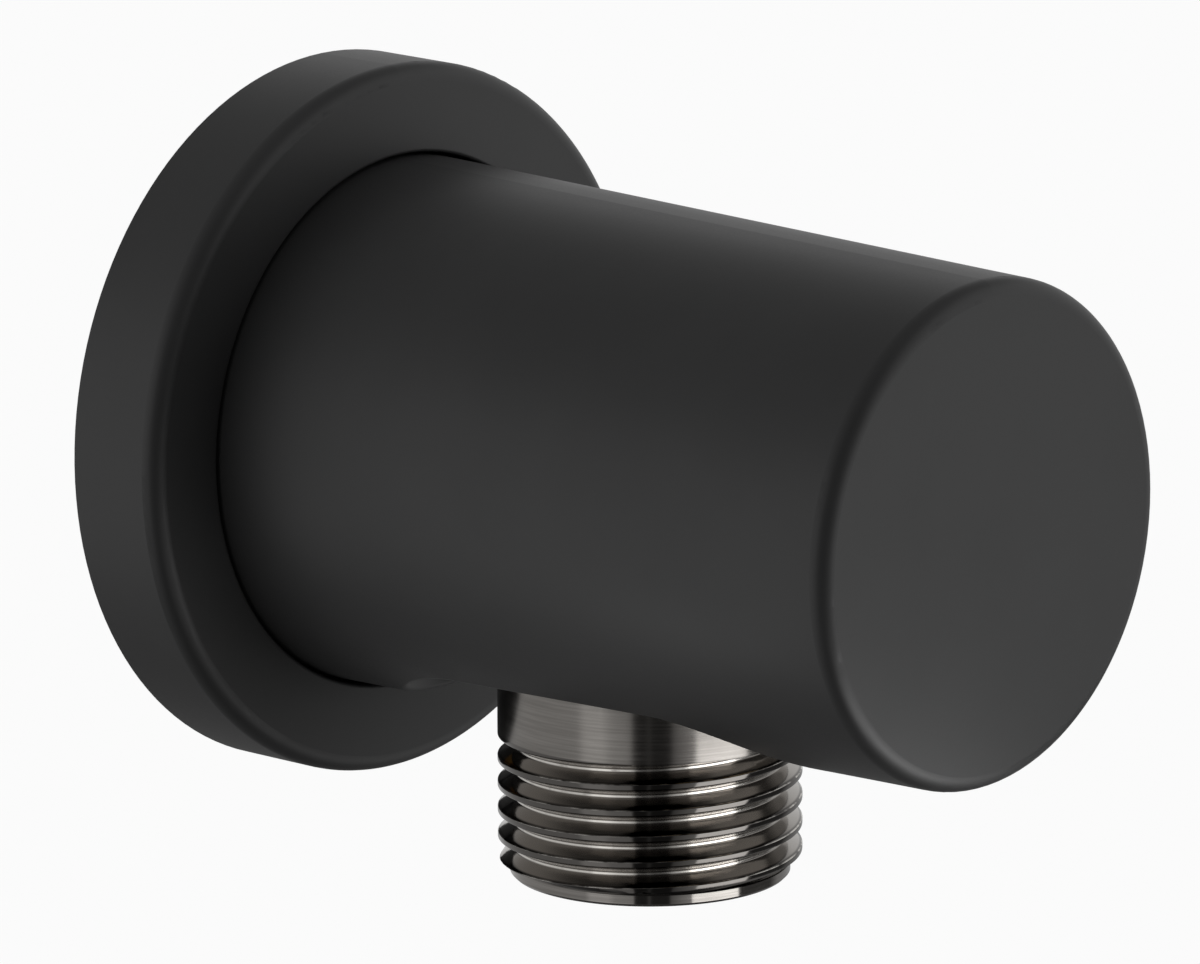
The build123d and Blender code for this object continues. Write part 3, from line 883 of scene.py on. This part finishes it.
def addFloor(s):
    # white where the camera looks at it, but for the fitting's shadow
    half = s["floorSize"] / 2
    mesh = bpy.data.meshes.new("floor")
    corners = [(-half, -half), (half, -half), (half, half), (-half, half)]
    mesh.from_pydata([(x, y, s["floorDrop"]) for x, y in corners], [], [(0, 1, 2, 3)])
    floor = bpy.data.objects.new("floor", mesh)
    bpy.context.scene.collection.objects.link(floor)
    values = {"Roughness": s["floorRoughness"], "Base Color": s["floorColour"]}
    material, shader, _ = newMaterial("paleFloor", values)
    own = Signal(material.node_tree, shader.outputs[0])
    white = own.node("ShaderNodeEmission", {}, {"Color": plainWhite})
    share = seenRays(material.node_tree) * s["floorWhite"]
    showSurface(material, share.node("ShaderNodeMixShader", {}, {0: share, 1: own, 2: white}))
    mesh.materials.append(material)
    floor.visible_glossy = False
    floor.visible_diffuse = False


studio = {
    "facing": cameraView["azimuth"],
    "base": 0.24,
    "seenWhite": 1.0,
    "softness": 10.0,
    "zones": {
        "leftWall": {
            "azimuths": (-165.0, -30.0), "elevations": (-35.0, 26.0), "strength": 0.48,
        },
        "frontGap": {
            "azimuths": (-26.0, 45.0), "elevations": (-110.0, 60.0), "strength": -0.16,
        },
        "rightWall": {
            "azimuths": (62.0, 122.0), "elevations": (-50.0, 42.0), "strength": 0.57,
        },
        "backdrop": {
            "azimuths": (122.0, 200.0), "elevations": (-12.0, 30.0), "strength": 0.54,
        },
        "backdropLeft": {
            "azimuths": (-200.0, -165.0), "elevations": (-12.0, 30.0), "strength": 0.54,
        },
        "darkTable": {
            "azimuths": (-200.0, 200.0), "elevations": (-110.0, -42.0), "strength": -0.12,
        },
    },
}


def setWorld(s):
    # Strength by direction: a base and one soft-edged window of azimuth and elevation for each
    # zone, in degrees. Azimuth is 0 towards the photograph's camera and grows to its right. The
    # camera sees plain white, also through what is clear.
    world = bpy.data.worlds.new("studio")
    bpy.context.scene.world = world
    world.use_nodes = True
    tree = world.node_tree
    background = tree.nodes["Background"]
    background.inputs["Color"].default_value = plainWhite
    place = tree.nodes.new("ShaderNodeTexCoord")
    towards = Signal(tree, place.outputs["Generated"])
    turned = towards.node(
        "ShaderNodeVectorRotate",
        {"rotation_type": "Z_AXIS"},
        {"Vector": towards, "Angle": math.radians(-s["facing"])},
    )
    x, y, z = turned.parts()
    azimuth = x.maths("ARCTAN2", x, -1.0 * y) * math.degrees(1.0)
    elevation = z.maths("ARCSINE", z) * math.degrees(1.0)
    soft = s["softness"]
    strength = s["base"]
    for zone in s["zones"].values():
        part = zone["strength"]
        for signal, limits in ((azimuth, zone["azimuths"]), (elevation, zone["elevations"])):
            low, high = limits
            part = part * signal.window(low - soft, low + soft, high - soft, high + soft)
        strength = strength + part
    strength = strength + (s["seenWhite"] - strength) * seenRays(tree)
    tree.links.new(strength.socket, background.inputs["Strength"])


cardColumns = 90
cards = {
    "nearCard": {
        "radius": 32.0,
        "heights": (-37.0, -16.0),
        "azimuths": (-47.0, -43.0, -30.0, -25.0, -12.0, -11.0, -2.5, -1.0, 0.5, 13.0, 14.0, 29.0),
        "strengths": (0.75, 1.2, 1.2, 0.85, 0.72, 0.05, 0.05, 0.20, 0.05, 0.05, 0.30, 0.85),
    },
    "brightCard": {
        "radius": 55.0,
        "heights": (-44.0, -24.0),
        "azimuths": (27.0, 34.0, 60.0, 71.0),
        "strengths": (2.4, 4.2, 4.6, 4.2),
    },
    "blackCard": {
        "radius": 55.0,
        "heights": (-44.0, -24.0),
        "azimuths": (72.0, 108.0, 120.0, 165.0, 177.0),
        "strengths": (0.1, 0.12, 0.5, 0.4, 0.3),
    },
}


def addCard(name, card):
    # A card bent round the nipple's axis, which shines only in what mirrors it: x is its radius
    # times the azimuth's sine, and y is minus its radius times the cosine. Its strength runs evenly
    # from one azimuth to the next.
    azimuth = np.linspace(card["azimuths"][0], card["azimuths"][-1], cardColumns)
    turn = np.radians(azimuth + studio["facing"])
    x, y = card["radius"] * np.sin(turn), -card["radius"] * np.cos(turn)
    rows = [np.stack([x, y, np.full_like(x, height)], axis=1) for height in card["heights"]]
    verts = np.concatenate(rows) * mm + np.array(nippleAxis)
    left = np.arange(cardColumns - 1)
    faces = np.stack([left, left + 1, left + cardColumns + 1, left + cardColumns], axis=1)
    mesh = bpy.data.meshes.new(name)
    mesh.from_pydata(verts.tolist(), [], faces.tolist())
    shine = np.interp(azimuth, card["azimuths"], card["strengths"])
    shineOn = mesh.attributes.new("shine", "FLOAT", "POINT")
    shineOn.data.foreach_set("value", np.tile(shine, len(rows)))
    piece = bpy.data.objects.new(name, mesh)
    bpy.context.scene.collection.objects.link(piece)
    material, _, coords = newMaterial(name, {})
    strength = coords.node("ShaderNodeAttribute", {"attribute_name": "shine"}, {}, output=2)
    showSurface(material, coords.node("ShaderNodeEmission", {}, {"Strength": strength}))
    mesh.materials.append(material)
    for ray in ("camera", "diffuse", "transmission", "volume_scatter", "shadow"):
        setattr(piece, "visible_" + ray, False)


addFloor(stage)
setWorld(studio)
for name, card in cards.items():
    addCard(name, card)
print("studio set up with", len(cards), "cards")

bpy.context.scene.view_settings.view_transform = "Standard"
